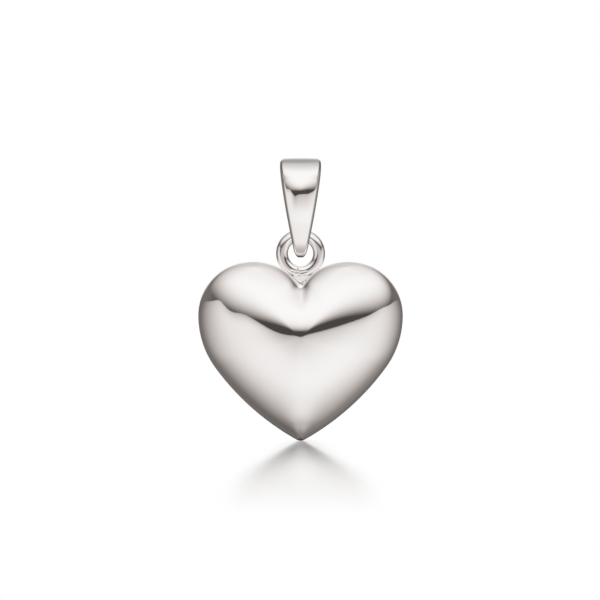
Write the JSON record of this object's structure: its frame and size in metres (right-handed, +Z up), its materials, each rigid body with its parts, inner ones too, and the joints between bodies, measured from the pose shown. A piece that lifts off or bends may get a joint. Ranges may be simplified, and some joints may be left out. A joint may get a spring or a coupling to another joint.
{
  "type": "puffed heart pendant",
  "caption": "Polished silver puffed heart pendant, hollow, with a soldered wire eye that swings in a folded, tapered strip bail.",
  "frame": {"origin": "middle of the bail's inside top, where the neck chain carries the pendant", "axes": "+Z up, as it hangs; +X to the right seen from the front, along the chain in the bail; the shown side faces -Y"},
  "size_m": [0.015, 0.0052, 0.0208],
  "materials": {
    "heart_silver": "mirror-polished sterling silver",
    "bail_silver": "polished sterling silver, a little softer than the heart"
  },
  "bodies": {
    "bail": {"bail": "bail_silver"},
    "heart": {"heart": "heart_silver"}
  },
  "joints": [
    {"name": "heart_swing", "type": "hinge", "parent": "bail", "child": "heart", "pos_m": [0, 0, -0.00522], "axis": [1, 0, 0], "range_deg": [-60, 60]}
  ]
}
